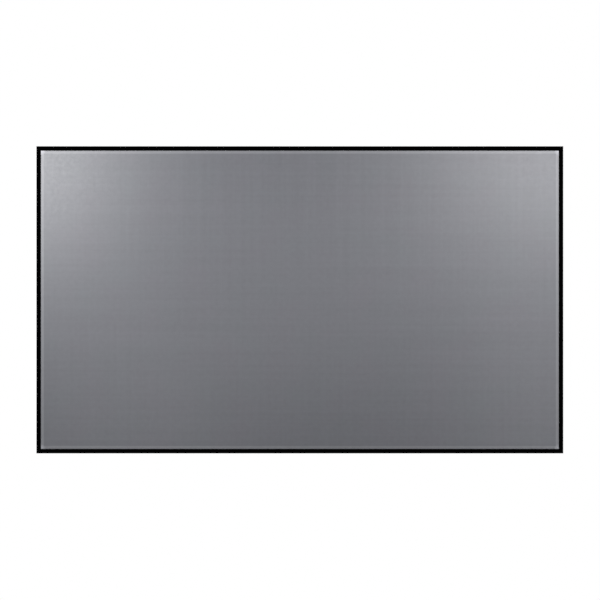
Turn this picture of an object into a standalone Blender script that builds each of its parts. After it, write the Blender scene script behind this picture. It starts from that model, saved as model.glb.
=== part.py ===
"""A thin-bezel fixed-frame projector screen of the 100-inch class, as its separate pieces.

Metres, +Z up and +X to the viewer's right. The film faces -Y and the wall is at +Y.
An aluminium frame of mitred rails carries a tensioned film, which wraps round the rails and is
pulled in at the back by springs. A thin black trim clips over the edge and makes the bezel.

A section point is (r, d): r runs inwards from the screen's outer edge and d runs back from the
bezel's front. Each of the four sides is drawn once, as the top side, and turned about Y.
"""

import math

import bmesh
import bpy
from mathutils import Matrix, Vector
from mathutils.geometry import tessellate_polygon

# The picture and its border
VIEW_WIDTH = 2.214
VIEW_HEIGHT = 1.275
BEZEL_WIDTH = 0.019
WALL_GAP = 0.0059  # from the back of the trim to the wall

# The gap left between pieces that touch
GAP = 0.0003

# Bezel trim
TRIM_WALL = 0.0015
TRIM_RETURN = 0.0035  # how far the rear lip reaches in past the wall
TRIM_CHAMFER = 0.0005

# Film
FILM_THICKNESS = 0.00045
FILM_ROLL_WIDTH = 0.0105  # the part of the rolled edge that shows beside the bezel
SEAM_WIDTH = 0.0033  # where the hem's two layers are welded
SEAM_CLEARANCE = 0.001  # from the rail's flange to the seam
WINDOW_WIDTH = 0.010  # cut out of the hem for each spring's hook
FLAP_CORNER_CUT = 0.045  # from the screen's corner to the end of a flap

# Tension rods, in the hems
ROD_DIAMETER = 0.004
ROD_OVERHANG = 0.004

# Springs
LONG_SIDE_SPRINGS = 10
SHORT_SIDE_SPRINGS = 5
SPRING_END_MARGIN = 0.053  # from the end of a flap to its last spring
SPRING_DIAMETER = 0.007
WIRE_DIAMETER = 0.0012
HOOK_GAP = 0.0006  # between the rod and the hook bent round it
HOOK_WINDOW_GAP = 0.0013  # between the hook and the seam
ROD_HOOK_NECK = 0.0035  # from the hook's bend to the coils
RIB_HOOK_NECK = 0.005  # from the coils to the rib

# Rails
RAIL_WIDTH = 0.050
RAIL_WALL = 0.0016
SHOULDER_DEPTH = 0.009  # of the rounded front edge that the film rolls over
FRONT_FALL = 0.0025  # the front face slopes away from the film
FRONT_CAVITY = 0.0035
FLANGE_HEIGHT = 0.0075  # of the outer flange behind the box section
FLANGE_TIP_WIDTH = 0.0045
FLANGE_TIP_DEPTH = 0.0026
FLANGE_CHAMFER = 0.0015
RIB_LIP = 0.0015
RIB_LIP_DEPTH = 0.0014
RIB_SETBACK = 0.001  # from the rail's inner face to the rib's lip
GROOVE_DEPTH = 0.0065
GROOVE_SETBACK = 0.0018  # from the front of the key channel

# Corner keys and splice bars, in the rails' key channel
KEY_WIDTH = 0.0162
KEY_DEPTH = 0.0086
KEY_LEG_END = 0.110  # from the screen's corner
KEY_SCREWS = (0.062, 0.094)  # from the screen's corner
SPLICE_LENGTH = 0.160
SPLICE_SCREWS = (-0.058, -0.022, 0.022, 0.058)
SCREW_DIAMETER = 0.005
SCREW_HOLE_CLEARANCE = 0.0006
SCREW_SOCKET = 0.0025  # across the hexagon's flats
SCREW_SOCKET_DEPTH = 0.0012

# Support bar, upright behind the film
BAR_WIDTH = 0.030
BAR_DEPTH = 0.015
BAR_WALL = 0.0015
FOOT_FLANGE = 0.003
FOOT_TONGUE_WIDTH = 0.034
FOOT_FLANGE_MARGIN = 0.002
FOOT_PLUG_LENGTH = 0.025

# Wall brackets
BRACKET_SHEET = 0.003
BRACKET_WIDTH = 0.080
BRACKET_PLATE_HEIGHT = 0.060
BRACKET_STATION = 0.684  # from the middle of the screen, moved to lie between two springs
BRACKET_HOLE_DIAMETER = 0.0065
BRACKET_HOLE_SPACING = 0.044
BRACKET_SLOT_LENGTH = 0.020

# Facets
SHOULDER_FACETS = 6
HEM_FACETS = 6
ROUND_FACETS = 10
WIRE_FACETS = 5

# Outer size
WIDTH = VIEW_WIDTH + 2 * BEZEL_WIDTH
HEIGHT = VIEW_HEIGHT + 2 * BEZEL_WIDTH

# Places across the section
R_FILM = TRIM_WALL + GAP + FILM_THICKNESS / 2
R_RAIL = TRIM_WALL + 2 * GAP + FILM_THICKNESS
R_RAIL_INNER = R_RAIL + RAIL_WIDTH
R_CREST = BEZEL_WIDTH + FILM_ROLL_WIDTH
R_FLANGE_TIP = R_RAIL + FLANGE_TIP_WIDTH
R_SEAM_START = R_FLANGE_TIP + SEAM_CLEARANCE
R_SEAM_END = R_SEAM_START + SEAM_WIDTH
HOOK_RADIUS = ROD_DIAMETER / 2 + HOOK_GAP + WIRE_DIAMETER / 2
R_ROD = R_SEAM_END + HOOK_WINDOW_GAP + HOOK_RADIUS + WIRE_DIAMETER / 2
R_RIB_LIP = R_RAIL_INNER - RIB_SETBACK
R_RIB_INNER = R_RIB_LIP - RIB_LIP
R_RIB_OUTER = R_RIB_INNER - RAIL_WALL
R_GROOVE = R_RAIL_INNER - GROOVE_DEPTH
R_CHANNEL_INNER = R_GROOVE - RAIL_WALL
R_CHANNEL_OUTER = R_CHANNEL_INNER - KEY_WIDTH - 2 * GAP
R_CHANNEL = (R_CHANNEL_INNER + R_CHANNEL_OUTER) / 2

# Places through the depth
D_RAIL = TRIM_WALL + 2 * GAP + FILM_THICKNESS
D_CAVITY_BACK = D_RAIL + RAIL_WALL + FRONT_CAVITY
D_CHANNEL_FRONT = D_CAVITY_BACK + RAIL_WALL
D_CHANNEL_BACK = D_CHANNEL_FRONT + KEY_DEPTH + 2 * GAP
D_BOX_BACK = D_CHANNEL_BACK + RAIL_WALL
D_GROOVE_FRONT = D_CHANNEL_FRONT + GROOVE_SETBACK
D_GROOVE_BACK = D_GROOVE_FRONT + BRACKET_SHEET + 2 * GAP
D_GROOVE = (D_GROOVE_FRONT + D_GROOVE_BACK) / 2
D_FLANGE = D_BOX_BACK + FLANGE_HEIGHT
D_HEM = D_FLANGE + GAP + FILM_THICKNESS / 2
D_SEAM = D_HEM - FILM_THICKNESS - GAP
HEM_RADIUS = ROD_DIAMETER / 2 + GAP + FILM_THICKNESS / 2
D_ROD = D_HEM - HEM_RADIUS
D_RIB = D_ROD - WIRE_DIAMETER / 2 - GAP
D_TRIM_BACK = D_FLANGE + 2 * GAP + FILM_THICKNESS + TRIM_WALL
D_WALL = D_TRIM_BACK + WALL_GAP
FRONT_Y = -D_WALL / 2

# Side name, turn about Y in degrees, centre to outer edge, half of the side's length
SIDES = (
    ("top", 0, HEIGHT / 2, WIDTH / 2, LONG_SIDE_SPRINGS),
    ("right", 90, WIDTH / 2, HEIGHT / 2, SHORT_SIDE_SPRINGS),
    ("bottom", 180, HEIGHT / 2, WIDTH / 2, LONG_SIDE_SPRINGS),
    ("left", 270, WIDTH / 2, HEIGHT / 2, SHORT_SIDE_SPRINGS),
)


def clear_scene():
    for old in list(bpy.data.objects):
        bpy.data.objects.remove(old, do_unlink=True)


def make_material(name, colour, roughness, metallic=0.0):
    material = bpy.data.materials.new(name)
    material.use_nodes = True
    shader = material.node_tree.nodes["Principled BSDF"]
    shader.inputs["Base Color"].default_value = (*colour, 1.0)
    shader.inputs["Roughness"].default_value = roughness
    shader.inputs["Metallic"].default_value = metallic
    return material


def side_matrix(turn, to_edge):
    """Takes a point drawn on the top side, measured from its outer edge, to one of the sides."""
    return Matrix.Rotation(math.radians(turn), 4, "Y") @ Matrix.Translation((0, 0, to_edge))


def side_point(along, r, d):
    return Vector((along, FRONT_Y + d, -r))


def make_mesh(name, vertices, faces, smooth=False):
    shape = bmesh.new()
    corners = [shape.verts.new(vertex) for vertex in vertices]
    for face in faces:
        shape.faces.new([corners[index] for index in face])
    bmesh.ops.recalc_face_normals(shape, faces=shape.faces)
    mesh = bpy.data.meshes.new(name)
    shape.to_mesh(mesh)
    shape.free()
    if smooth:
        mesh.shade_smooth()
        mesh.set_sharp_from_angle(angle=math.radians(35))
    return mesh


def make_object(name, mesh, material, matrix=None):
    made = bpy.data.objects.new(name, mesh)
    if not mesh.materials:
        mesh.materials.append(material)
    made.matrix_world = matrix or Matrix.Identity(4)
    bpy.context.scene.collection.objects.link(made)
    return made


def prism(name, loops, at_start, at_end, smooth=False):
    """A straight bar. The first loop is its outline and the others are the hollows along it."""
    points = [point for loop in loops for point in loop]
    count = len(points)
    vertices = [at_start(*point) for point in points] + [at_end(*point) for point in points]
    faces = []
    first = 0
    for loop in loops:
        for step in range(len(loop)):
            here = first + step
            after = first + (step + 1) % len(loop)
            faces.append((here, after, after + count, here + count))
        first += len(loop)
    flat = [[Vector((*point, 0)) for point in loop] for loop in loops]
    for triangle in tessellate_polygon(flat):
        faces.append(triangle)
        faces.append([index + count for index in triangle])
    return make_mesh(name, vertices, faces, smooth)


def side_bar(name, loops, start, end, smooth=False):
    """A bar along the top side. start and end give the place of each end at a given r."""
    return prism(
        name,
        loops,
        lambda r, d: side_point(start(r), r, d),
        lambda r, d: side_point(end(r), r, d),
        smooth,
    )


def rectangle(low_u, high_u, low_v, high_v):
    return [(low_u, low_v), (high_u, low_v), (high_u, high_v), (low_u, high_v)]


def ellipse_arc(centre, radii, from_angle, to_angle, facets):
    """Points from one angle to another, both in degrees, with the ends."""
    points = []
    for step in range(facets + 1):
        angle = math.radians(from_angle + (to_angle - from_angle) * step / facets)
        points.append((centre[0] + radii[0] * math.cos(angle), centre[1] + radii[1] * math.sin(angle)))
    return points


def circle(centre, radius, facets=ROUND_FACETS):
    return ellipse_arc(centre, (radius, radius), 0, 360, facets)[:-1]


def combined(mesh, others, operation):
    """The mesh after a Boolean with each of the other meshes, as a new mesh."""
    base = bpy.data.objects.new("base", mesh)
    bpy.context.scene.collection.objects.link(base)
    tools = []
    for other in others:
        tool = bpy.data.objects.new("tool", other)
        bpy.context.scene.collection.objects.link(tool)
        modifier = base.modifiers.new("cut", "BOOLEAN")
        modifier.operation = operation
        modifier.object = tool
        tools.append(tool)
    graph = bpy.context.evaluated_depsgraph_get()
    result = bpy.data.meshes.new_from_object(base.evaluated_get(graph))
    result.name = mesh.name
    for used in [base, *tools]:
        bpy.data.objects.remove(used, do_unlink=True)
    return result


def depth_bar(name, outline, low_d, high_d):
    """A bar along the depth, with its outline in x and z."""
    return prism(
        name,
        [outline],
        lambda x, z: Vector((x, FRONT_Y + low_d, z)),
        lambda x, z: Vector((x, FRONT_Y + high_d, z)),
    )


def screw_hole(x, z):
    """The cutter for a set screw's hole in the rail's back wall."""
    radius = SCREW_DIAMETER / 2 + SCREW_HOLE_CLEARANCE
    overrun = RAIL_WALL / 2
    return depth_bar("hole", circle((x, z), radius), D_CHANNEL_BACK - overrun, D_BOX_BACK + overrun)


def set_screw(x, z):
    """A screw with a hexagon socket, sunk in its key and flush with the back of the rail."""
    root = D_CHANNEL_BACK - KEY_DEPTH / 2
    top = D_BOX_BACK - GAP
    socket_radius = SCREW_SOCKET / 2 / math.cos(math.pi / 6)
    body = depth_bar("screw", circle((x, z), SCREW_DIAMETER / 2), root, top)
    socket = depth_bar("socket", circle((x, z), socket_radius, 6), top - SCREW_SOCKET_DEPTH, top + GAP)
    return combined(body, [socket], "DIFFERENCE")


def rail_section():
    """The rail's outline with its two hollows: the front cavity and the key channel."""
    across = R_CREST - R_RAIL
    shoulder_centre = (R_CREST, D_RAIL + SHOULDER_DEPTH)
    outline = ellipse_arc(shoulder_centre, (across, SHOULDER_DEPTH), 180, 270, SHOULDER_FACETS)
    outline += [
        (R_RAIL_INNER, D_RAIL + FRONT_FALL),
        (R_RAIL_INNER, D_GROOVE_FRONT),
        (R_GROOVE, D_GROOVE_FRONT),
        (R_GROOVE, D_GROOVE_BACK),
        (R_RAIL_INNER, D_GROOVE_BACK),
        (R_RAIL_INNER, D_BOX_BACK),
        (R_RIB_INNER, D_BOX_BACK),
        (R_RIB_INNER, D_RIB - RIB_LIP_DEPTH),
        (R_RIB_LIP, D_RIB - RIB_LIP_DEPTH),
        (R_RIB_LIP, D_RIB),
        (R_RIB_OUTER, D_RIB),
        (R_RIB_OUTER, D_BOX_BACK),
        (R_RAIL + RAIL_WALL, D_BOX_BACK),
        (R_RAIL + RAIL_WALL, D_FLANGE - FLANGE_TIP_DEPTH),
        (R_FLANGE_TIP, D_FLANGE - FLANGE_TIP_DEPTH),
        (R_FLANGE_TIP, D_FLANGE),
        (R_RAIL + FLANGE_CHAMFER, D_FLANGE),
        (R_RAIL, D_FLANGE - FLANGE_CHAMFER),
    ]
    inside = (across - RAIL_WALL, SHOULDER_DEPTH - RAIL_WALL)
    wall_fall = FRONT_FALL * (R_RAIL_INNER - RAIL_WALL - R_CREST) / (R_RAIL_INNER - R_CREST)
    cavity = ellipse_arc(shoulder_centre, inside, 180, 270, SHOULDER_FACETS)
    cavity += [
        (R_RAIL_INNER - RAIL_WALL, D_RAIL + RAIL_WALL + wall_fall),
        (R_RAIL_INNER - RAIL_WALL, D_CAVITY_BACK),
        (R_CHANNEL_OUTER - RAIL_WALL, D_CAVITY_BACK),
        (R_CHANNEL_OUTER - RAIL_WALL, D_CHANNEL_BACK),
        (R_RAIL + RAIL_WALL, D_CHANNEL_BACK),
    ]
    channel = rectangle(R_CHANNEL_OUTER, R_CHANNEL_INNER, D_CHANNEL_FRONT, D_CHANNEL_BACK)
    return [outline, cavity, channel]


def trim_section():
    """The trim's outline: a front lip, a side wall and a rear lip that clips behind the rail."""
    lip_back = D_TRIM_BACK - TRIM_WALL
    rear_lip = TRIM_WALL + TRIM_RETURN
    return [
        [
            (TRIM_CHAMFER, 0),
            (BEZEL_WIDTH - TRIM_CHAMFER, 0),
            (BEZEL_WIDTH, TRIM_CHAMFER),
            (BEZEL_WIDTH, TRIM_WALL),
            (TRIM_WALL, TRIM_WALL),
            (TRIM_WALL, lip_back),
            (rear_lip, lip_back),
            (rear_lip, D_TRIM_BACK),
            (TRIM_CHAMFER, D_TRIM_BACK),
            (0, D_TRIM_BACK - TRIM_CHAMFER),
            (0, TRIM_CHAMFER),
        ]
    ]


def side_lengths(name, loops, half_length, halves, smooth=False):
    """Meshes for one side, mitred at the corners: the whole length, or its -x and +x halves."""
    mitre = GAP * math.sqrt(0.5)

    def start(r):
        return r + mitre - half_length

    def end(r):
        return half_length - r - mitre

    if not halves:
        return [side_bar(name, loops, start, end, smooth)]
    return [
        side_bar(name, loops, start, lambda r: -GAP / 2, smooth),
        side_bar(name, loops, lambda r: GAP / 2, end, smooth),
    ]


def drilled(mesh, places):
    """The rail with the holes for the set screws at these places along it."""
    return combined(mesh, [screw_hole(x, -R_CHANNEL) for x in places], "DIFFERENCE")


def place_lengths(kind, long_halves, short_length, material):
    """Puts the pieces that run round the screen: two halves top and bottom, one at each side."""
    for side, turn, to_edge, _, _ in SIDES:
        place = side_matrix(turn, to_edge)
        if side in ("left", "right"):
            make_object(f"{kind}_{side}", short_length, material, place)
            continue
        ends = ("left", "right") if side == "top" else ("right", "left")
        for end, mesh in zip(ends, long_halves):
            make_object(f"{kind}_{side}_{end}", mesh, material, place)


def make_rails(material):
    section = rail_section()
    left_half, right_half = side_lengths("rail_half", section, WIDTH / 2, True, smooth=True)
    upright = side_lengths("rail_upright", section, HEIGHT / 2, False, smooth=True)[0]
    at_ends = [WIDTH / 2 - place for place in KEY_SCREWS]
    right_places = at_ends + [place for place in SPLICE_SCREWS if place > 0]
    left_places = [-place for place in at_ends] + [place for place in SPLICE_SCREWS if place < 0]
    upright_places = [sign * (HEIGHT / 2 - place) for sign in (-1, 1) for place in KEY_SCREWS]
    halves = [drilled(left_half, left_places), drilled(right_half, right_places)]
    place_lengths("frame_rail", halves, drilled(upright, upright_places), material)


def make_trims(material):
    halves = side_lengths("trim_half", trim_section(), WIDTH / 2, True)
    upright = side_lengths("trim_upright", trim_section(), HEIGHT / 2, False)[0]
    place_lengths("bezel_trim", halves, upright, material)


def make_corner_keys(material):
    """An L-shaped key in each corner, drawn from the top right corner of the screen."""
    outer = R_CHANNEL_OUTER + GAP
    inner = R_CHANNEL_INNER - GAP
    end = KEY_LEG_END
    outline = [
        (-outer, -outer),
        (-end, -outer),
        (-end, -inner),
        (-inner, -inner),
        (-inner, -end),
        (-outer, -end),
    ]
    key = depth_bar("corner_key", outline, D_CHANNEL_FRONT + GAP, D_CHANNEL_BACK - GAP)
    screws = [set_screw(-place, -R_CHANNEL) for place in KEY_SCREWS]
    screws += [set_screw(-R_CHANNEL, -place) for place in KEY_SCREWS]
    key = combined(key, screws, "UNION")
    corners = ("top_right", "bottom_right", "bottom_left", "top_left")
    for (_, turn, to_edge, half_length, _), end in zip(SIDES, corners):
        place = side_matrix(turn, to_edge) @ Matrix.Translation((half_length, 0, 0))
        make_object(f"corner_key_{end}", key, material, place)


def make_splice_bars(material):
    """A bar in the key channel, across the joint in the middle of the top and bottom rails."""
    loop = rectangle(
        R_CHANNEL_OUTER + GAP,
        R_CHANNEL_INNER - GAP,
        D_CHANNEL_FRONT + GAP,
        D_CHANNEL_BACK - GAP,
    )
    half = SPLICE_LENGTH / 2
    bar = side_bar("splice_bar", [loop], lambda r: -half, lambda r: half)
    bar = combined(bar, [set_screw(x, -R_CHANNEL) for x in SPLICE_SCREWS], "UNION")
    for side, turn, to_edge, _, _ in SIDES:
        if side in ("top", "bottom"):
            make_object(f"splice_bar_{side}", bar, material, side_matrix(turn, to_edge))


def make_support_bar(bar_material, foot_material):
    """A tube from the top rail to the bottom rail, on a foot at each end."""
    front = D_GROOVE - BAR_DEPTH / 2
    back = D_GROOVE + BAR_DEPTH / 2
    half = BAR_WIDTH / 2
    loops = [
        rectangle(-half, half, front, back),
        rectangle(BAR_WALL - half, half - BAR_WALL, front + BAR_WALL, back - BAR_WALL),
    ]
    end = HEIGHT / 2 - R_RAIL_INNER - GAP - FOOT_FLANGE - GAP
    tube = side_bar("support_bar", loops, lambda r: -end, lambda r: end)
    make_object("support_bar", tube, bar_material, side_matrix(90, 0))

    flange_start = R_RAIL_INNER + GAP
    flange_end = flange_start + FOOT_FLANGE
    tongue = rectangle(
        -FOOT_TONGUE_WIDTH / 2,
        FOOT_TONGUE_WIDTH / 2,
        D_GROOVE_FRONT + GAP,
        D_GROOVE_BACK - GAP,
    )
    reach = max(FOOT_TONGUE_WIDTH, BAR_WIDTH) / 2 + FOOT_FLANGE_MARGIN
    flange = rectangle(-reach, reach, front, back)
    inset = BAR_WALL + GAP
    plug = rectangle(inset - half, half - inset, front + inset, back - inset)
    foot = stepped_block(
        "support_bar_foot",
        [
            (R_GROOVE + GAP, flange_start, tongue),
            (flange_start, flange_end, flange),
            (flange_end, flange_end + FOOT_PLUG_LENGTH, plug),
        ],
    )
    for side, turn, to_edge, _, _ in SIDES:
        if side in ("top", "bottom"):
            make_object(f"support_bar_foot_{side}", foot, foot_material, side_matrix(turn, to_edge))


def stepped_block(name, steps):
    """Blocks end to end along r, as one piece. A step is its start, its end and its outline."""
    vertices = []
    faces = []
    for start, end, outline in steps:
        first = len(vertices)
        for r in (start, end):
            vertices += [side_point(x, r, d) for x, d in outline]
        for corner in range(4):
            after = (corner + 1) % 4
            faces.append((first + corner, first + after, first + after + 4, first + corner + 4))
    last = len(vertices) - 4
    faces.append((0, 1, 2, 3))
    faces.append((last, last + 1, last + 2, last + 3))
    for number, (step, following) in enumerate(zip(steps[:-1], steps[1:])):
        ledge = [(8 * number + 4, step[2]), (8 * number + 8, following[2])]
        ledge.sort(key=lambda ring: -ring[1][2][0])
        indices = [first + corner for first, _ in ledge for corner in range(4)]
        flat = [[Vector((*point, 0)) for point in outline] for _, outline in ledge]
        faces += [[indices[index] for index in triangle] for triangle in tessellate_polygon(flat)]
    return make_mesh(name, vertices, faces)


def spring_stations(half_length, count):
    last = half_length - FLAP_CORNER_CUT - SPRING_END_MARGIN
    return [last * (2 * step / (count - 1) - 1) for step in range(count)]


def hem_end_angle():
    """Where the hem leaves the rod, in degrees, on its straight way back to the seam."""
    to_seam = (R_SEAM_END - R_ROD, D_SEAM - D_ROD)
    tangent = math.acos(HEM_RADIUS / math.hypot(*to_seam))
    return math.degrees(math.atan2(to_seam[1], to_seam[0]) + tangent) - 360


def make_film(material):
    """The film's middle surface: the flat field, the rolled edge, and a hemmed flap on each side."""
    vertices = []
    faces = []

    def add(point):
        vertices.append(point)
        return len(vertices) - 1

    def fan(ends, row):
        """Fills the strip between a two-point edge and a row of points that runs the same way."""
        middle = len(row) // 2
        for step in range(len(row) - 1):
            tip = ends[0] if step < middle else ends[1]
            faces.append((tip, row[step], row[step + 1]))
        faces.append((ends[0], row[middle], ends[1]))

    offset = GAP + FILM_THICKNESS / 2
    centre = (R_CREST, D_RAIL + SHOULDER_DEPTH)
    radii = (R_CREST - R_RAIL + offset, SHOULDER_DEPTH + offset)
    rings = []
    for r, d in ellipse_arc(centre, radii, 270, 180, SHOULDER_FACETS):
        ring = []
        for _, turn, to_edge, half_length, _ in SIDES:
            ring.append(add(side_matrix(turn, to_edge) @ side_point(half_length - r, r, d)))
        rings.append(ring)
    faces.append(rings[0])
    for outer, inner in zip(rings[:-2], rings[1:-1]):
        for corner in range(4):
            faces.append((outer[corner - 1], outer[corner], inner[corner], inner[corner - 1]))

    bend = offset * math.tan(math.pi / 8)
    wrap = [
        (R_FILM, D_RAIL + SHOULDER_DEPTH),
        (R_FILM, D_FLANGE - FLANGE_CHAMFER + bend),
        (R_RAIL + FLANGE_CHAMFER - bend, D_HEM),
    ]
    turn_points = [(R_SEAM_END, D_HEM)]
    turn_points += ellipse_arc((R_ROD, D_ROD), (HEM_RADIUS, HEM_RADIUS), 90, hem_end_angle(), HEM_FACETS)
    turn_points.append((R_SEAM_END, D_SEAM))
    for corner, (_, turn, to_edge, half_length, springs) in enumerate(SIDES):
        place = side_matrix(turn, to_edge)
        flap_end = half_length - FLAP_CORNER_CUT

        def row(point, columns):
            return [add(place @ side_point(x, *point)) for x in columns]

        windows = spring_stations(half_length, springs)
        columns = [-flap_end]
        for station in windows:
            columns += [station - WINDOW_WIDTH / 2, station + WINDOW_WIDTH / 2]
        columns.append(flap_end)
        edge = [row(point, (-flap_end, flap_end)) for point in wrap]
        before, last = rings[-2], rings[-1]
        fan((before[corner - 1], before[corner]), (last[corner - 1], *edge[0], last[corner]))
        for upper, lower in zip(edge[:-1], edge[1:]):
            faces.append((upper[0], upper[1], lower[1], lower[0]))
        rows = [row(point, columns) for point in turn_points]
        fan(edge[-1], rows[0])
        for upper, lower in zip(rows[:-1], rows[1:]):
            for column in range(0, len(columns), 2):
                faces.append((upper[column], upper[column + 1], lower[column + 1], lower[column]))
        fan(row((R_SEAM_START, D_SEAM), (-flap_end, flap_end)), rows[-1])

    mesh = make_mesh("screen_film", vertices, faces, smooth=True)
    film = make_object("screen_film", mesh, material)
    solidify = film.modifiers.new("thickness", "SOLIDIFY")
    solidify.thickness = FILM_THICKNESS
    solidify.offset = 0
    solidify.use_even_offset = True


def make_rods(material):
    loop = [circle((R_ROD, D_ROD), ROD_DIAMETER / 2)]
    for side, turn, to_edge, half_length, _ in SIDES:
        end = half_length - FLAP_CORNER_CUT + ROD_OVERHANG
        rod = side_bar("tension_rod", loop, lambda r: -end, lambda r: end, smooth=True)
        make_object(f"tension_rod_{side}", rod, material, side_matrix(turn, to_edge))


def spring_mesh():
    """A closed coil drawn as a barrel, with a wire hook round the rod and one over the rib."""
    wire = WIRE_DIAMETER / 2
    rod_hook = ellipse_arc((R_ROD, D_ROD), (HOOK_RADIUS, HOOK_RADIUS), 290, 50, 6)
    barrel_start = R_ROD + HOOK_RADIUS + ROD_HOOK_NECK
    barrel_end = R_RIB_OUTER - RIB_HOOK_NECK
    hook_r = R_RIB_LIP + GAP + wire
    hook_d = D_RIB - RIB_LIP_DEPTH - GAP - wire
    bend = WIRE_DIAMETER
    rib_hook = [
        (barrel_end + wire, D_ROD),
        (hook_r - bend, D_ROD),
        (hook_r, D_ROD - bend),
        (hook_r, hook_d + bend / 2),
        (hook_r - bend / 2, hook_d),
        (R_RIB_INNER + GAP + wire, hook_d),
    ]
    rod_hook.append((barrel_start - wire, D_ROD))
    vertices = []
    faces = []

    def ring(centre, direction, radius, facets):
        across = Vector((-direction[1], direction[0])).normalized()
        first = len(vertices)
        for step in range(facets):
            angle = 2 * math.pi * step / facets
            r = centre[0] + across.x * radius * math.cos(angle)
            d = centre[1] + across.y * radius * math.cos(angle)
            vertices.append(side_point(radius * math.sin(angle), r, d))
        return [first + step for step in range(facets)]

    def wire_rings(path):
        rings = []
        for step, point in enumerate(path):
            before = path[max(step - 1, 0)]
            after = path[min(step + 1, len(path) - 1)]
            direction = (after[0] - before[0], after[1] - before[1])
            rings.append(ring(point, direction, wire, WIRE_FACETS))
        return rings

    def join(one, other):
        for step in range(len(one)):
            after = (step + 1) % len(one)
            faces.append((one[step], one[after], other[after], other[step]))

    def join_to_barrel(thin, wide):
        for step in range(len(thin)):
            after = (step + 1) % len(thin)
            left, middle, right = (wide[(2 * step + turn) % len(wide)] for turn in range(3))
            faces.append((thin[step], left, middle))
            faces.append((thin[step], middle, thin[after]))
            faces.append((thin[after], middle, right))

    first_hook = wire_rings(rod_hook)
    barrel = [
        ring((r, D_ROD), (1, 0), SPRING_DIAMETER / 2, 2 * WIRE_FACETS) for r in (barrel_start, barrel_end)
    ]
    second_hook = wire_rings(rib_hook)
    for rings in (first_hook, second_hook):
        for one, other in zip(rings[:-1], rings[1:]):
            join(one, other)
    join(*barrel)
    join_to_barrel(first_hook[-1], barrel[0])
    join_to_barrel(second_hook[0], barrel[1])
    faces.append(first_hook[0])
    faces.append(second_hook[-1])
    return make_mesh("tension_spring", vertices, faces, smooth=True)


def make_springs(material):
    mesh = spring_mesh()
    for side, turn, to_edge, half_length, count in SIDES:
        for number, station in enumerate(spring_stations(half_length, count), 1):
            place = side_matrix(turn, to_edge) @ Matrix.Translation((station, 0, 0))
            make_object(f"tension_spring_{side}_{number:02d}", mesh, material, place)


def bracket_mesh(name, slot_length):
    """A bent strip: a tongue in the rail's groove, a shelf under the rail and a plate on the wall."""
    shelf = R_RAIL_INNER + GAP
    shelf_end = shelf + BRACKET_SHEET
    tongue_front = D_GROOVE_FRONT + GAP
    plate_end = shelf_end + BRACKET_PLATE_HEIGHT
    loop = [
        (R_GROOVE + GAP, tongue_front),
        (shelf_end, tongue_front),
        (shelf_end, D_WALL - BRACKET_SHEET),
        (plate_end, D_WALL - BRACKET_SHEET),
        (plate_end, D_WALL),
        (shelf, D_WALL),
        (shelf, tongue_front + BRACKET_SHEET),
        (R_GROOVE + GAP, tongue_front + BRACKET_SHEET),
    ]
    half = BRACKET_WIDTH / 2
    bracket = side_bar(name, [loop], lambda r: -half, lambda r: half)
    hole_r = (shelf_end + plate_end) / 2
    radius = BRACKET_HOLE_DIAMETER / 2
    reach = (slot_length - BRACKET_HOLE_DIAMETER) / 2
    cutters = []
    for x in (-BRACKET_HOLE_SPACING / 2, BRACKET_HOLE_SPACING / 2):
        if slot_length:
            outline = ellipse_arc((x, reach - hole_r), (radius, radius), 0, 180, ROUND_FACETS // 2)
            outline += ellipse_arc((x, -reach - hole_r), (radius, radius), 180, 360, ROUND_FACETS // 2)
        else:
            outline = circle((x, -hole_r), radius)
        cutters.append(depth_bar("hole", outline, D_WALL - 2 * BRACKET_SHEET, D_WALL + BRACKET_SHEET))
    return combined(bracket, cutters, "DIFFERENCE")


def make_wall_brackets(material):
    """Two that the top rail hangs on, and two with slots that slide down into the bottom rail."""
    stations = spring_stations(WIDTH / 2, LONG_SIDE_SPRINGS)
    between = [(one + other) / 2 for one, other in zip(stations[:-1], stations[1:])]
    meshes = {
        "top": ("upper", bracket_mesh("wall_bracket", 0), 1),
        "bottom": ("lower", bracket_mesh("slotted_bracket", BRACKET_SLOT_LENGTH), -1),
    }
    for side, turn, to_edge, _, _ in SIDES:
        if side not in meshes:
            continue
        level, mesh, right = meshes[side]
        for end, sign in (("left", -right), ("right", right)):
            station = min(between, key=lambda x: abs(x - sign * BRACKET_STATION))
            place = side_matrix(turn, to_edge) @ Matrix.Translation((station, 0, 0))
            make_object(f"wall_bracket_{level}_{end}", mesh, material, place)


def main():
    clear_scene()
    rail_black = make_material("anodised_rail", (0.035, 0.035, 0.038), 0.42, 0.6)
    bezel_black = make_material("bezel_black", (0.004, 0.004, 0.004), 0.85)
    film_grey = make_material("film_grey", (0.19, 0.19, 0.205), 0.5)
    cast_metal = make_material("zinc_key", (0.5, 0.5, 0.49), 0.4, 1.0)
    bar_metal = make_material("bar_aluminium", (0.6, 0.6, 0.61), 0.35, 1.0)
    nylon = make_material("nylon_foot", (0.02, 0.02, 0.02), 0.6)
    rod_white = make_material("fibreglass_rod", (0.75, 0.74, 0.7), 0.5)
    spring_steel = make_material("spring_steel", (0.6, 0.6, 0.6), 0.25, 1.0)
    bracket_steel = make_material("bracket_steel", (0.55, 0.55, 0.55), 0.35, 1.0)
    make_rails(rail_black)
    make_corner_keys(cast_metal)
    make_splice_bars(cast_metal)
    make_support_bar(bar_metal, nylon)
    make_film(film_grey)
    make_rods(rod_white)
    make_springs(spring_steel)
    make_trims(bezel_black)
    make_wall_brackets(bracket_steel)


main()
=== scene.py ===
"""The looks of a thin-bezel fixed-frame projector screen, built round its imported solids.

The film, the springs and the rods are made again with finer forms, and the rigid pieces are drawn
from their solids with rounded edges. Metres, +Z up; the film faces -Y and the wall is at +Y.
A section point is (r, d): r runs inwards from the screen's outer edge and d back from the bezel's
front. Each of the four sides is drawn once, as the top side, and turned about Y.
"""

import math

import bmesh
import bpy
from mathutils import Matrix, Vector


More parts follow.
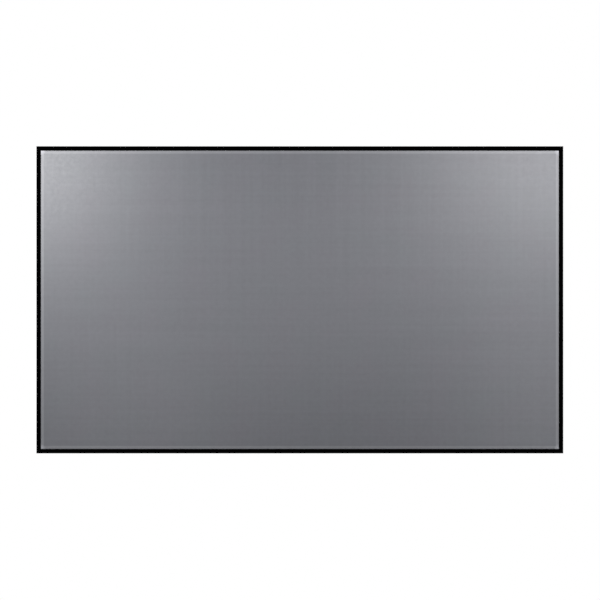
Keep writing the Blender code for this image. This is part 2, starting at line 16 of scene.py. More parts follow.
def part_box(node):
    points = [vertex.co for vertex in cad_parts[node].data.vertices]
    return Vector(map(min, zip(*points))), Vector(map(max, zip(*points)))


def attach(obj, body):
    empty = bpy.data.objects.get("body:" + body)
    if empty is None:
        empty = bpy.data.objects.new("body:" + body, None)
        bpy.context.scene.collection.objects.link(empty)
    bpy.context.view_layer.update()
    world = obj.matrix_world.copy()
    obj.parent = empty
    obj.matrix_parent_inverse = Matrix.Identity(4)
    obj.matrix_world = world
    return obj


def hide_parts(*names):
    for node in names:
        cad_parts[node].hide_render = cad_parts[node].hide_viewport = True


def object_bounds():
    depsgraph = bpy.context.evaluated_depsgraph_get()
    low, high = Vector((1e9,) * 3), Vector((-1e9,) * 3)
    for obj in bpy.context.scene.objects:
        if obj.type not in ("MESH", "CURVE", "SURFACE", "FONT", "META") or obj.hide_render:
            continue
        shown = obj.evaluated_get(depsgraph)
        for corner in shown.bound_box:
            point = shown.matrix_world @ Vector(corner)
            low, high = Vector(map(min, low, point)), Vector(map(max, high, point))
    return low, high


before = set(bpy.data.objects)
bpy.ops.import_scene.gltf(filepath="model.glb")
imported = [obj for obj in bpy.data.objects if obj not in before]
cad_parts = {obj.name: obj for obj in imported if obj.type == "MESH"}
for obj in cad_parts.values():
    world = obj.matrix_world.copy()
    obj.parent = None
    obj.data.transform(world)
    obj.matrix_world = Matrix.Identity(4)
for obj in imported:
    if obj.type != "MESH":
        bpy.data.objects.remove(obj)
cad_low, cad_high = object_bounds()

# The object's own box
HALF_WIDTH = cad_high.x
HALF_HEIGHT = cad_high.z
FRONT_Y = cad_low.y

# Side name, turn about Y in degrees, centre to outer edge, half of the side's length, springs
SIDES = (
    ("top", 0, HALF_HEIGHT, HALF_WIDTH, 10),
    ("right", 90, HALF_WIDTH, HALF_HEIGHT, 5),
    ("bottom", 180, HALF_HEIGHT, HALF_WIDTH, 10),
    ("left", 270, HALF_WIDTH, HALF_HEIGHT, 5),
)
LENGTHS = ("top_left", "top_right", "bottom_left", "bottom_right", "left", "right")
CORNERS = ("top_left", "top_right", "bottom_left", "bottom_right")
BRACKETS = ("upper_left", "upper_right", "lower_left", "lower_right")
GAP = 0.0003  # between a piece and what it rests on

# Rail
RAIL_WALL = 0.0016
SHOULDER_DEPTH = 0.009  # of the rounded front edge
FLANGE_CHAMFER = 0.0015
FLANGE_TIP_WIDTH = 0.0045
RIB_LIP = 0.0015
RIB_LIP_DEPTH = 0.0014
RIB_SETBACK = 0.001

# Film
FILM_THICKNESS = 0.00045
FILM_ROLL_WIDTH = 0.0105  # the part of the rolled edge that shows beside the bezel
FIELD_MARGIN = 0.002  # a flat strip between the field and the roll, which keeps its shading even
SEAM_CLEARANCE = 0.001
SEAM_WIDTH = 0.0033
WINDOW_WIDTH = 0.010
FLAP_CORNER_CUT = 0.045
BEND_RADIUS = 0.0004
ROLL_FACETS = 18
HEM_FACETS = 14

# Rods and springs
ROD_CHAMFER = 0.0003
ROD_FACETS = 28
WIRE_DIAMETER = 0.0012
WIRE_FACETS = 10
COIL_DIAMETER = 0.007
COIL_TURNS = 13.25
COIL_STEPS = 20  # points in each turn
HOOK_GAP = 0.0006  # between the rod and the hook bent round it
HOOK_START = 290  # degrees round the rod, 0 towards the coil
HOOK_END = 96
HOOK_FACETS = 16
HOOK_ROUNDS = 2  # how often the corners of the wire's route are cut
ROD_HOOK_NECK = 0.0035
RIB_HOOK_NECK = 0.005

# Wall brackets
BRACKET_SHEET = 0.003
BEND_OUTSIDE = 0.0038
BEND_OUTSIDE_FACETS = 6
BEND_INSIDE = 0.0008
BEND_INSIDE_FACETS = 3

# Rounding of the rigid pieces' edges
RAIL_EDGE = 0.00022
TRIM_EDGE = 0.0002
KEY_EDGE = 0.0002
BAR_EDGE = 0.0006
FOOT_EDGE = 0.0004
BRACKET_EDGE = 0.00025
EDGE_FACETS = 2
BAR_EDGE_FACETS = 3

# Sawn ends of rails, trims and tubes have a larger face than this, in square metres
SMALLEST_CUT_END = 2e-5
JOINT_CLOSING = 0.00012  # how far each sawn end is drawn into the gap at its joint

# How close the corners of a mesh are joined, and angles between its faces in degrees
SOLID_MERGE = 2e-6
FILM_MERGE = 1e-6
FLAT_ANGLE = 0.6  # faces this close to one plane become one face
SHARP_ANGLE = 40  # edges sharper than this are rounded
BRACKET_SHARP_ANGLE = 60  # the same, once a bracket's bends are round
SHADING_ANGLE = 42  # edges sharper than this show as edges
WIRE_SHADING_ANGLE = 60

# Colours, in linear light
FLOCK_BLACK = (0.0004, 0.0004, 0.00044)
FLOCK_SHEEN = (0.75, 0.78, 0.85, 1.0)
FILM_GREY = (0.1252, 0.1282, 0.1444)
BACKING_BLACK = (0.016, 0.016, 0.0175)
ANODISED_BLACK = (0.048, 0.048, 0.052)
MILL_ALUMINIUM = (0.60, 0.605, 0.615)
CAST_ZINC = (0.46, 0.46, 0.45)
OXIDE_BLACK = (0.045, 0.044, 0.043)
NYLON_BLACK = (0.014, 0.014, 0.015)
FIBREGLASS_WHITE = (0.71, 0.70, 0.63)
NICKEL = (0.60, 0.59, 0.57)
ZINC_PLATE = (0.56, 0.575, 0.59)
FLOOR_WHITE = (0.60, 0.60, 0.595)

# Painted highlight on the film's rolled edge, where the roll catches the light: distances from the bezel
# where it fades in, and how much paler it is
EDGE_FADE = (0.0148, 0.0100)
EDGE_HIGHLIGHT_GAIN = 0.42
# The painted highlight grows towards the corners as a soft painted glow: where that fades in, and how much
# paler it is there
CORNER_FADE = (0.022, 0.005)
CORNER_HIGHLIGHT_GAIN = 1.80
EDGE_RED = 0.012  # redder by this share
EDGE_BLUE = 0.97  # times as blue

# The film's patterns: how finely each streak pattern repeats along X, Y and Z, and the share by
# which each pattern changes the shade, either way
UPRIGHT_STREAKS = (52, 1, 0.9)
UPRIGHT_SHARE = 0.034
UPRIGHT_FADE = (0.0, 0.40)  # heights between which the upright streaks come to full strength
UPRIGHT_LEAST = 0.7  # their strength below that, as a share
LEVEL_STREAKS = (0.8, 1, 58)
LEVEL_SHARE = 0.036
CLOUD_SHARE = 0.012
MOTTLE_SHARE = 0.03
GRAIN_SHARE = 0.03

# Most of a noise texture's values lie between these two
NOISE_LOW = 0.3
NOISE_HIGH = 0.7

# Photograph: where the screen's outer frame lies, in pixels
PHOTO_SIZE = 600
PHOTO_LEFT = 36.44
PHOTO_RIGHT = 563.24
PHOTO_TOP = 146.43
PHOTO_BOTTOM = 453.21

# Studio
CAMERA_DISTANCE = 20.0
SENSOR_WIDTH = 36.0  # millimetres
FLOOR_DROP = 0.85  # from the screen's lower edge to the floor
FLOOR_SIZE = (9.0, 6.6)
FLOOR_FADE = (0.3, 0.98)  # where it fades, as shares of the way from its middle to its sides
FLOOR_OPACITY = 0.6
AMBIENT_LIGHT = 0.325  # the white backdrop's light on the screen, as a share of how bright it shows
# Lamps that face the film: name, x, z, distance in front, size and power in watts
FRONT_LAMPS = (
    ("left_lamp", -1.30, 0.70, 1.35, 0.6, 23.7),
    ("right_lamp", 1.12, 0.80, 1.50, 0.9, 19.45),
    ("right_spill", 1.25, 0.60, 0.90, 0.6, 2.4),
    ("right_fill", 1.20, -0.40, 0.90, 0.9, 2.3),
    ("left_fill", -0.80, -0.40, 0.90, 0.9, 1.7),
    ("middle_fill", 0.00, 0.05, 0.90, 0.9, 1.35),
)
# Lamps behind the screen that aim at its middle: name, place, size and power in watts
REAR_LAMPS = (
    ("rear_lamp", (1.5, 2.4, 1.7), 1.6, 120),
    ("rear_fill", (-2.2, 2.0, 0.2), 1.6, 60),
)


def section_box(node):
    """Lowest r, lowest d, highest r and highest d of a node on the top side."""
    low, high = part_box(node)
    return HALF_HEIGHT - high.z, low.y - FRONT_Y, HALF_HEIGHT - low.z, high.y - FRONT_Y


# Places in the section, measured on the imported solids
BEZEL_WIDTH = section_box("bezel_trim_top_left")[2]
R_RAIL, D_RAIL, R_RAIL_INNER, D_FLANGE = section_box("frame_rail_top_left")
R_FILM = section_box("screen_film")[0] + FILM_THICKNESS / 2
D_HEM = section_box("screen_film")[3] - FILM_THICKNESS / 2
ROD_LOW, _, ROD_HIGH, _ = section_box("tension_rod_top")
ROD_RADIUS = (ROD_HIGH - ROD_LOW) / 2
R_ROD = (ROD_LOW + ROD_HIGH) / 2
FILM_OFFSET = R_RAIL - R_FILM
HEM_RADIUS = ROD_RADIUS + FILM_OFFSET
D_ROD = D_HEM - HEM_RADIUS
D_SEAM = D_HEM - FILM_THICKNESS - GAP
R_CREST = BEZEL_WIDTH + FILM_ROLL_WIDTH
R_SEAM_START = R_RAIL + FLANGE_TIP_WIDTH + SEAM_CLEARANCE
R_SEAM_END = R_SEAM_START + SEAM_WIDTH
D_KEY_BACK = section_box("splice_bar_top")[3] - RAIL_WALL  # set screws stand out by the rail's wall


def side_matrix(turn, to_edge):
    """Takes a point drawn on the top side, measured from its outer edge, to one of the sides."""
    return Matrix.Rotation(math.radians(turn), 4, "Y") @ Matrix.Translation((0, 0, to_edge))


def side_point(along, r, d):
    return Vector((along, FRONT_Y + d, -r))


def arc(centre, radii, from_angle, to_angle, facets):
    """Points from one angle to another, both in degrees, with the ends."""
    points = []
    for step in range(facets + 1):
        angle = math.radians(from_angle + (to_angle - from_angle) * step / facets)
        points.append((centre[0] + radii[0] * math.cos(angle), centre[1] + radii[1] * math.sin(angle)))
    return points


def spring_stations(side, turn, to_edge, count):
    """Where the springs stand along a side, from their solids."""
    back = side_matrix(turn, to_edge).inverted()
    stations = []
    for number in range(1, count + 1):
        low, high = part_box(f"tension_spring_{side}_{number:02d}")
        stations.append((back @ ((low + high) / 2)).x)
    return stations


def add_piece(name, mesh, replaced, materials, matrix=None):
    """Links a piece that stands for one solid and rides with the screen."""
    piece = bpy.data.objects.new(name, mesh)
    bpy.context.scene.collection.objects.link(piece)
    piece.matrix_world = matrix or Matrix.Identity(4)
    if not mesh.materials:
        for material in materials:
            mesh.materials.append(material)
    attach(piece, "root")
    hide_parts(replaced)
    return piece


# Materials


def add_node(tree, kind, inputs=None, output=0, **settings):
    """One output of a new node. An input is a value, or a socket that is linked to it."""
    made = tree.nodes.new(kind)
    for name, value in settings.items():
        setattr(made, name, value)
    for key, value in (inputs or {}).items():
        if isinstance(value, bpy.types.NodeSocket):
            tree.links.new(value, made.inputs[key])
        else:
            made.inputs[key].default_value = value
    return made.outputs[output]


def new_material(name, roughness, metallic=0.0, specular=0.5):
    material = bpy.data.materials.new(name)
    material.use_nodes = True
    shader = material.node_tree.nodes["Principled BSDF"]
    shader.inputs["Roughness"].default_value = roughness
    shader.inputs["Metallic"].default_value = metallic
    shader.inputs["Specular IOR Level"].default_value = specular
    return material, material.node_tree, shader


def object_point(tree, stretch=(1, 1, 1)):
    """The point on the piece, times stretch, for a pattern."""
    point = add_node(tree, "ShaderNodeTexCoord", output="Object")
    return add_node(tree, "ShaderNodeMapping", {"Vector": point, "Scale": stretch})


def noise(tree, scale=1.0, detail=3.0, roughness=0.5, stretch=(1, 1, 1)):
    """Noise from 0 to 1, finer as scale rises. stretch makes it finer along an axis."""
    point = object_point(tree, stretch)
    inputs = {"Vector": point, "Scale": scale, "Detail": detail, "Roughness": roughness}
    return add_node(tree, "ShaderNodeTexNoise", inputs)


def lines_along(tree, axis, fine, coarse):
    """Long thin lines along an axis, from noise that is fine across it and coarse along it."""
    stretch = [fine, fine, fine]
    stretch["XYZ".index(axis)] = coarse
    return noise(tree, roughness=0.6, stretch=stretch)


def compute(tree, operation, one, other=0.0):
    return add_node(tree, "ShaderNodeMath", {0: one, 1: other}, operation=operation)


def spread(tree, value, low, high, to_low, to_high, smooth=False):
    """Maps value from low..high to to_low..to_high, held at the ends."""
    kind = "SMOOTHSTEP" if smooth else "LINEAR"
    inputs = {"Value": value, "From Min": low, "From Max": high, "To Min": to_low, "To Max": to_high}
    return add_node(tree, "ShaderNodeMapRange", inputs, interpolation_type=kind)


def vary(tree, pattern, low, high):
    """Maps the usual range of a noise pattern to low..high."""
    return spread(tree, pattern, NOISE_LOW, NOISE_HIGH, low, high)


def swing(tree, pattern, share):
    """Maps the usual range of a noise pattern to a change of that share, either way."""
    return vary(tree, pattern, -share, share)


def tinted(tree, colour, factor):
    """The colour times a factor that varies over the surface."""
    return add_node(tree, "ShaderNodeVectorMath", {0: colour, "Scale": factor}, operation="SCALE")


def paint(tree, shader, colour, factor):
    tree.links.new(tinted(tree, colour, factor), shader.inputs["Base Color"])


def roughen(tree, shader, roughness):
    tree.links.new(roughness, shader.inputs["Roughness"])


def bump(tree, shader, height, distance, strength):
    inputs = {"Height": height, "Distance": distance, "Strength": strength}
    tree.links.new(add_node(tree, "ShaderNodeBump", inputs), shader.inputs["Normal"])


def velvet_material():
    """Deep black flock on the bezel: almost no light back, and a faint sheen at a low angle."""
    material, tree, shader = new_material("bezel_flock", roughness=0.95, specular=0.0)
    shader.inputs["Sheen Weight"].default_value = 0.7
    shader.inputs["Sheen Roughness"].default_value = 0.26
    shader.inputs["Sheen Tint"].default_value = FLOCK_SHEEN
    pile = noise(tree, 1900.0, detail=2.0)
    patches = noise(tree, 22.0)
    shade = compute(tree, "MULTIPLY", vary(tree, pile, 0.6, 1.4), vary(tree, patches, 0.8, 1.2))
    paint(tree, shader, FLOCK_BLACK, shade)
    bump(tree, shader, pile, distance=0.0002, strength=0.6)
    return material


def rolled_edge_highlight(tree, across, up):
    """How far a point lies on the rolled edge, from 0 to 1, and the factor of a painted highlight that
    makes it paler there.
    """
    inset_x = compute(tree, "SUBTRACT", HALF_WIDTH - BEZEL_WIDTH, compute(tree, "ABSOLUTE", across))
    inset_z = compute(tree, "SUBTRACT", HALF_HEIGHT - BEZEL_WIDTH, compute(tree, "ABSOLUTE", up))
    nearest = compute(tree, "MINIMUM", inset_x, inset_z)
    band = spread(tree, nearest, *EDGE_FADE, 0.0, 1.0, smooth=True)
    square_x = compute(tree, "POWER", inset_x, 2.0)
    square_z = compute(tree, "POWER", inset_z, 2.0)
    from_corner = compute(tree, "SQRT", compute(tree, "ADD", square_x, square_z))
    corner = spread(tree, from_corner, *CORNER_FADE, 0.0, 1.0)
    # Painted highlight: the rolled edge is made paler in the base colour, most of all at the corners
    gain = compute(tree, "MULTIPLY", band, spread(tree, corner, 0.0, 1.0, EDGE_HIGHLIGHT_GAIN, CORNER_HIGHLIGHT_GAIN))
    return band, compute(tree, "ADD", 1.0, gain)


def film_pattern(tree, up, grain):
    """The coating's streaks, clouds, mottle and grain, as a factor near 1."""
    upright = swing(tree, noise(tree, detail=4.0, roughness=0.6, stretch=UPRIGHT_STREAKS), UPRIGHT_SHARE)
    level = swing(tree, noise(tree, detail=4.0, roughness=0.6, stretch=LEVEL_STREAKS), LEVEL_SHARE)
    strength = spread(tree, up, *UPRIGHT_FADE, UPRIGHT_LEAST, 1.0, smooth=True)
    streaks = compute(tree, "ADD", compute(tree, "MULTIPLY", upright, strength), level)
    clouds = swing(tree, noise(tree, 3.5), CLOUD_SHARE)
    mottle = swing(tree, noise(tree, 55.0, detail=2.0), MOTTLE_SHARE)
    coarse = compute(tree, "ADD", streaks, clouds)
    fine = compute(tree, "ADD", mottle, swing(tree, grain, GRAIN_SHARE))
    return compute(tree, "ADD", compute(tree, "ADD", coarse, fine), 1.0)


def colour_drift(tree, band):
    """Factors of red, green and blue: a faint drift over the film, and a warmer rolled edge."""
    patches = noise(tree, 6.0, detail=2.0)
    redder = compute(tree, "MULTIPLY", band, EDGE_RED)
    red = compute(tree, "ADD", vary(tree, patches, 0.990, 1.010), redder)
    green = vary(tree, patches, 1.008, 0.992)
    blue = spread(tree, band, 0.0, 1.0, 1.0, EDGE_BLUE)
    return add_node(tree, "ShaderNodeCombineXYZ", {"X": red, "Y": green, "Z": blue})


def film_front_material(name, welded=False):
    """Cool grey satin film with a painted highlight that makes its rolled edge paler, and a warmer tint
    there. A weld has fine slanted ribs.
    """
    material, tree, shader = new_material(name, roughness=0.46, specular=0.64)
    place = tree.nodes.new("ShaderNodeSeparateXYZ")
    tree.links.new(object_point(tree), place.inputs[0])
    across = place.outputs["X"]
    up = place.outputs["Z"]
    band, edge = rolled_edge_highlight(tree, across, up)
    grain = noise(tree, 1400.0, detail=2.0)
    # edge is the painted highlight of the rolled edge, which brightens the grey there
    grey = tinted(tree, FILM_GREY, compute(tree, "MULTIPLY", film_pattern(tree, up, grain), edge))
    drift = colour_drift(tree, band)
    coated = add_node(tree, "ShaderNodeVectorMath", {0: grey, 1: drift}, operation="MULTIPLY")
    tree.links.new(coated, shader.inputs["Base Color"])
    roughen(tree, shader, vary(tree, noise(tree, 60.0), 0.44, 0.49))
    if welded:
        inputs = {"Vector": object_point(tree, (1, 0, 1)), "Scale": 260.0, "Detail": 0.0}
        ribs = add_node(tree, "ShaderNodeTexWave", inputs, wave_type="BANDS", bands_direction="DIAGONAL")
        bump(tree, shader, ribs, distance=0.0002, strength=0.8)
    else:
        bump(tree, shader, grain, distance=0.00004, strength=0.35)
    return material


def film_back_material():
    """Matt black-out layer on the film's back, with a fine knitted ground."""
    material, tree, shader = new_material("film_backing", roughness=0.82, specular=0.2)
    shader.inputs["Sheen Weight"].default_value = 0.04
    threads = []
    for direction in "XZ":
        inputs = {"Vector": object_point(tree), "Scale": 420.0, "Distortion": 1.2, "Detail": 1.0}
        threads.append(add_node(tree, "ShaderNodeTexWave", inputs, bands_direction=direction))
    knit = compute(tree, "MULTIPLY", *threads)
    blotches = vary(tree, noise(tree, 6.0, detail=4.0), 0.85, 1.15)
    rolled = vary(tree, noise(tree, stretch=(0.6, 1, 24)), 0.94, 1.06)
    shade = compute(tree, "MULTIPLY", blotches, rolled)
    shade = compute(tree, "MULTIPLY", shade, spread(tree, knit, 0, 1, 0.85, 1.15))
    paint(tree, shader, BACKING_BLACK, shade)
    bump(tree, shader, knit, distance=0.0001, strength=0.5)
    return material


def extrusion_material(name, colour, roughness, metallic, axis, lines_share=0.12):
    """Extruded aluminium: fine die lines that run along the piece's axis, under its finish."""
    material, tree, shader = new_material(name, roughness, metallic)
    lines = lines_along(tree, axis, fine=900.0, coarse=3.0)
    patches = vary(tree, noise(tree, 9.0), 0.93, 1.07)
    shade = compute(tree, "MULTIPLY", vary(tree, lines, 1 - lines_share, 1 + lines_share), patches)
    paint(tree, shader, colour, shade)
    roughen(tree, shader, vary(tree, lines, roughness - 0.05, roughness + 0.08))
    bump(tree, shader, lines, distance=0.00003, strength=0.5)
    return material


def cast_material():
    """Die-cast zinc: dull grey skin with a fine grain and darker flow marks."""
    material, tree, shader = new_material("cast_zinc", roughness=0.48, metallic=1.0)
    grain = noise(tree, 1100.0)
    flow = noise(tree, 45.0, detail=4.0, roughness=0.6)
    paint(tree, shader, CAST_ZINC, vary(tree, flow, 0.8, 1.12))
    roughen(tree, shader, vary(tree, flow, 0.55, 0.4))
    bump(tree, shader, grain, distance=0.0001, strength=0.4)
    return material


def oxide_material():
    """Black oxide on the set screws, rubbed here and there."""
    material, tree, shader = new_material("black_oxide", roughness=0.36, metallic=0.9)
    rub = noise(tree, 700.0, detail=4.0, roughness=0.65)
    paint(tree, shader, OXIDE_BLACK, spread(tree, rub, 0.35, 0.75, 0.7, 1.9))
    roughen(tree, shader, vary(tree, rub, 0.3, 0.45))
    return material


def nylon_material():
    """Moulded black nylon with a fine eroded grain."""
    material, tree, shader = new_material("black_nylon", roughness=0.52)
    grain = noise(tree, 1500.0)
    cloud = noise(tree, 70.0, detail=2.0)
    paint(tree, shader, NYLON_BLACK, vary(tree, cloud, 0.85, 1.2))
    bump(tree, shader, grain, distance=0.00015, strength=0.6)
    return material


def fibreglass_material(axis):
    """Pulled fibreglass: milky off-white with long glass strands."""
    material, tree, shader = new_material(f"fibreglass_{axis.lower()}", roughness=0.38)
    shader.inputs["Coat Weight"].default_value = 0.3
    shader.inputs["Coat Roughness"].default_value = 0.25
    strands = lines_along(tree, axis, fine=2400.0, coarse=6.0)
    paint(tree, shader, FIBREGLASS_WHITE, vary(tree, strands, 0.86, 1.06))
    bump(tree, shader, strands, distance=0.00003, strength=0.5)
    return material


def spring_material():
    """Nickel-plated spring wire with drawing marks."""
    material, tree, shader = new_material("nickel_wire", roughness=0.24, metallic=1.0)
    marks = noise(tree, 1300.0, roughness=0.6)
    paint(tree, shader, NICKEL, vary(tree, marks, 0.85, 1.08))
    roughen(tree, shader, vary(tree, marks, 0.19, 0.31))
    return material


def zinc_plate_material():
    """Zinc-plated steel sheet: cool grey, with a soft mottle and fine rolling lines."""
    material, tree, shader = new_material("zinc_plate", roughness=0.36, metallic=1.0)
    inputs = {"Vector": object_point(tree), "Scale": 160.0}
    cells = add_node(tree, "ShaderNodeTexVoronoi", inputs, feature="SMOOTH_F1")
    cell_edge = 0.8  # the pattern's value where two cells meet; it is 0 in their middles
    lines = lines_along(tree, "X", fine=700.0, coarse=6.0)
    mottle = spread(tree, cells, 0.0, cell_edge, 1.06, 0.9)
    paint(tree, shader, ZINC_PLATE, compute(tree, "MULTIPLY", mottle, vary(tree, lines, 0.93, 1.05)))
    roughen(tree, shader, spread(tree, cells, 0.0, cell_edge, 0.3, 0.44))
    bump(tree, shader, lines, distance=0.00003, strength=0.5)
    return material


# Rigid pieces, drawn from their solids with rounded edges


def welded_shape(node):
    """The node's solid with its split corners joined and its flat faces whole again."""
    shape = bmesh.new()
    shape.from_mesh(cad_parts[node].data)
    bmesh.ops.remove_doubles(shape, verts=shape.verts, dist=SOLID_MERGE)
    flat = math.radians(FLAT_ANGLE)
    bmesh.ops.dissolve_limit(shape, angle_limit=flat, verts=shape.verts, edges=shape.edges)
    return shape


def round_edges(shape, edges, width, segments):
    bmesh.ops.bevel(
        shape,
        geom=list(edges),
        offset=width,
        segments=segments,
        profile=0.5,
        affect="EDGES",
        clamp_overlap=True,
    )


def sharp_edges(shape, angle=SHARP_ANGLE):
    limit = math.radians(angle)
    return [edge for edge in shape.edges if edge.is_manifold and edge.calc_face_angle(0) > limit]


def finished_mesh(name, shape, sharp_angle=SHADING_ANGLE):
    """The mesh of a shape, shaded smooth apart from its sharp edges."""
    mesh = bpy.data.meshes.new(name)
    shape.to_mesh(mesh)
    shape.free()
    mesh.shade_smooth()
    mesh.set_sharp_from_angle(angle=math.radians(sharp_angle))
    return mesh


def add_even_normals(piece):
    normals = piece.modifiers.new("even_normals", "WEIGHTED_NORMAL")
    normals.keep_sharp = True


def cut_end(face, axis):
    """Whether a face is the sawn end of a long piece, square or mitred."""
    return abs(face.normal["XYZ".index(axis)]) > 0.5 and face.calc_area() > SMALLEST_CUT_END


def close_joints(shape, axis):
    """Brings the sawn ends of a piece to a hairline from the next piece's."""
    number = "XYZ".index(axis)
    for face in [face for face in shape.faces if cut_end(face, axis)]:
        step = JOINT_CLOSING / face.normal[number]
        for vert in face.verts:
            vert.co[number] += step


def rounded_piece(node, name, materials, width, segments=EDGE_FACETS, sawn_across=None):
    """Rounds the sharp edges, apart from those round the sawn ends of a piece along that axis."""
    shape = welded_shape(node)
    edges = sharp_edges(shape)
    if sawn_across:
        close_joints(shape, sawn_across)
        edges = [edge for edge in edges if not any(cut_end(face, sawn_across) for face in edge.link_faces)]
    round_edges(shape, edges, width, segments)
    piece = add_piece(name, finished_mesh(name, shape), node, materials)
    add_even_normals(piece)
    return piece


def length_axis(place):
    return "Z" if place in ("left", "right") else "X"


def make_rails():
    anodised = {}
    for axis in "XZ":
        name = f"black_anodised_{axis.lower()}"
        anodised[axis] = extrusion_material(name, ANODISED_BLACK, roughness=0.33, metallic=0.5, axis=axis)
    for place in LENGTHS:
        axis = length_axis(place)
        node = f"frame_rail_{place}"
        rounded_piece(node, f"rail_{place}", [anodised[axis]], RAIL_EDGE, sawn_across=axis)


def make_trims():
    velvet = velvet_material()
    for place in LENGTHS:
        axis = length_axis(place)
        node = f"bezel_trim_{place}"
        rounded_piece(node, f"trim_{place}", [velvet], TRIM_EDGE, sawn_across=axis)


def paint_screws(mesh):
    """Gives the faces behind the key's own back to the set screws' material."""
    behind = FRONT_Y + D_KEY_BACK + GAP / 2
    for face in mesh.polygons:
        depths = [mesh.vertices[index].co.y for index in face.vertices]
        if min(depths) > behind - GAP and max(depths) > behind:
            face.material_index = 1


def make_keys():
    materials = [cast_material(), oxide_material()]
    keys = [(f"corner_key_{corner}", f"key_{corner}") for corner in CORNERS]
    keys += [(f"splice_bar_{side}", f"splice_{side}") for side in ("top", "bottom")]
    for node, name in keys:
        piece = rounded_piece(node, name, materials, KEY_EDGE)
        paint_screws(piece.data)


def make_support_bar():
    mill = extrusion_material(
        "mill_aluminium", MILL_ALUMINIUM, roughness=0.34, metallic=1.0, axis="Z", lines_share=0.06
    )
    nylon = nylon_material()
    rounded_piece("support_bar", "upright_bar", [mill], BAR_EDGE, BAR_EDGE_FACETS)
    for side in ("top", "bottom"):
        rounded_piece(f"support_bar_foot_{side}", f"foot_{side}", [nylon], FOOT_EDGE)


def shelf_heights(upper):
    """Heights of a bracket's shelf, beside the rail and away from it."""
    beside = HALF_HEIGHT - R_RAIL_INNER - GAP
    away = beside - BRACKET_SHEET
    return (beside, away) if upper else (-beside, -away)


def same_place(one, other):
    return abs(one - other) < GAP / 3


def bracket_bends(shape, low, high, beside, away):
    """The long edges on the outside and on the inside of a bracket's two bends."""
    outside = []
    inside = []
    for edge in shape.edges:
        along = (edge.verts[0].co - edge.verts[1].co).normalized()
        if abs(along.x) < 0.99:
            continue
        _, y, z = edge.verts[0].co
        if same_place(y, low.y) and same_place(z, away):
            outside.append(edge)
        if same_place(y, high.y) and same_place(z, beside):
            outside.append(edge)
        if same_place(y, low.y + BRACKET_SHEET) and same_place(z, beside):
            inside.append(edge)
        if same_place(y, high.y - BRACKET_SHEET) and same_place(z, away):
            inside.append(edge)
    return outside, inside


def sort_faces(shape):
    """Lists the faces by their corners. After a second bevel their order differs from run to run."""
    shape.verts.index_update()
    corners = {face: sorted(vert.index for vert in face.verts) for face in shape.faces}
    places = {face: place for place, face in enumerate(sorted(shape.faces, key=corners.get))}
    shape.faces.sort(key=places.get)


def make_brackets():
    """Bent strips: the sheet's bends are rounded first, and then its cut edges."""
    zinc = zinc_plate_material()
    for place in BRACKETS:
        node = f"wall_bracket_{place}"
        name = f"bracket_{place}"
        shape = welded_shape(node)
        outside, inside = bracket_bends(shape, *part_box(node), *shelf_heights(place.startswith("upper")))
        round_edges(shape, outside, BEND_OUTSIDE, BEND_OUTSIDE_FACETS)
        inside = [edge for edge in inside if edge.is_valid]
        round_edges(shape, inside, BEND_INSIDE, BEND_INSIDE_FACETS)
        round_edges(shape, sharp_edges(shape, BRACKET_SHARP_ANGLE), BRACKET_EDGE, EDGE_FACETS)
        sort_faces(shape)
        piece = add_piece(name, finished_mesh(name, shape), node, [zinc])
        add_even_normals(piece)


# Wire and rods


def join_rings(shape, rings):
    """Faces from each ring of corners to the next, and a flat face at each end."""
    for one, other in zip(rings[:-1], rings[1:]):
        for number in range(len(one)):
            after = (number + 1) % len(one)
            shape.faces.new((one[number], one[after], other[after], other[number]))
    shape.faces.new(rings[0])
    shape.faces.new(rings[-1])
    bmesh.ops.recalc_face_normals(shape, faces=shape.faces)


def sweep(name, path, radius, facets):
    """A round wire along a path of points, closed at both ends."""
    shape = bmesh.new()
    rings = []
    normal = None
    for step, point in enumerate(path):
        before = path[max(step - 1, 0)]
        after = path[min(step + 1, len(path) - 1)]
        direction = (after - before).normalized()
        if normal is None:
            normal = direction.orthogonal()
        normal = (normal - direction * normal.dot(direction)).normalized()
        side = direction.cross(normal)
        ring = []
        for facet in range(facets):
            angle = 2 * math.pi * facet / facets
            spoke = normal * math.cos(angle) + side * math.sin(angle)
            ring.append(shape.verts.new(point + spoke * radius))
        rings.append(ring)
    join_rings(shape, rings)
    return finished_mesh(name, shape, WIRE_SHADING_ANGLE)


def cut_corners(points, rounds):
    """The same route with its corners rounded off."""
    for _ in range(rounds):
        smooth = [points[0]]
        for one, other in zip(points[:-1], points[1:]):
            smooth += [one.lerp(other, 0.25), one.lerp(other, 0.75)]
        smooth.append(points[-1])
        points = smooth
    return points


